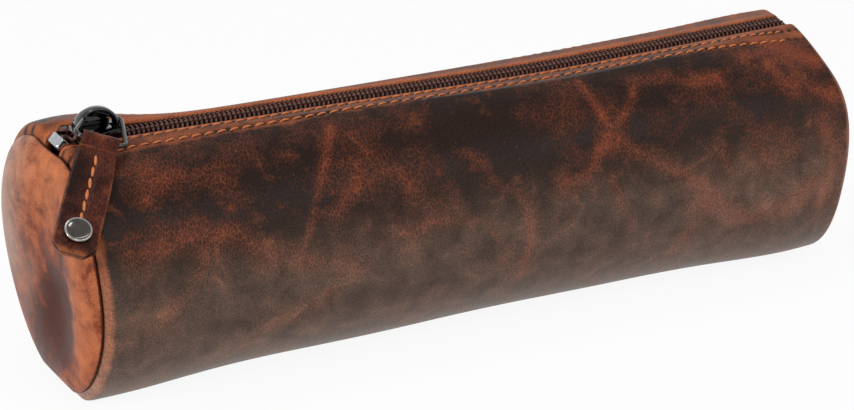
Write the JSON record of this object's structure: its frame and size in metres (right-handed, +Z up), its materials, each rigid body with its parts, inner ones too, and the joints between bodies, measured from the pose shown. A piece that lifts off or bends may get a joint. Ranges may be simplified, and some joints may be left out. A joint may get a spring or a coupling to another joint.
{
  "type": "leather pen pouch",
  "caption": "Round sewn leather pouch for pens, closed along its top by a coil zip whose slider carries a ring and a folded leather pull tab.",
  "frame": {"origin": "middle of the patch that the tube lies on, at its underside", "axes": "+X along the tube, away from the end where the slider stands when the zip is closed; -Y towards the side the tab hangs on; +Z up"},
  "size_m": [0.2156, 0.0654, 0.0667],
  "materials": {
    "tan_leather": "waxed, satin",
    "end_leather": "waxed, satin",
    "tape_fabric": "woven",
    "coil_plastic": "satin",
    "clamp_metal": "satin",
    "slider_metal": "dark plated",
    "bail_metal": "dark plated",
    "ring_metal": "polished",
    "tab_leather": "waxed, satin",
    "rivet_metal": "satin"
  },
  "bodies": {
    "pouch": {"body_panel": "tan_leather", "end_panel_left": "end_leather", "end_panel_right": "end_leather", "zip_tape_near": "tape_fabric", "zip_tape_far": "tape_fabric", "zip_coil_near": "coil_plastic", "zip_coil_far": "coil_plastic", "zip_end_clamp": "clamp_metal"},
    "slider": {"slider_body": "slider_metal", "slider_bail": "bail_metal"},
    "ring": {"pull_ring": "ring_metal"},
    "tab": {"pull_tab": "tab_leather", "rivet_cap": "rivet_metal", "rivet_post": "rivet_metal"}
  },
  "joints": [
    {"name": "slider_travel", "type": "slide", "parent": "pouch", "child": "slider", "axis": [1, 0, 0], "range_m": [0, 0.176], "deforming": ["zip_coil_near", "zip_coil_far"]},
    {"name": "ring_swing", "type": "hinge", "parent": "slider", "child": "ring", "pos_m": [-0.0907, 0, 0.06425], "axis": [-1, 0, 0], "range_deg": [0, 15]},
    {"name": "tab_swing", "type": "hinge", "parent": "ring", "child": "tab", "pos_m": [-0.09154, -0.01108, 0.0616], "axis": [-0.866, 0.394, 0.3078], "range_deg": [0, 110]}
  ]
}
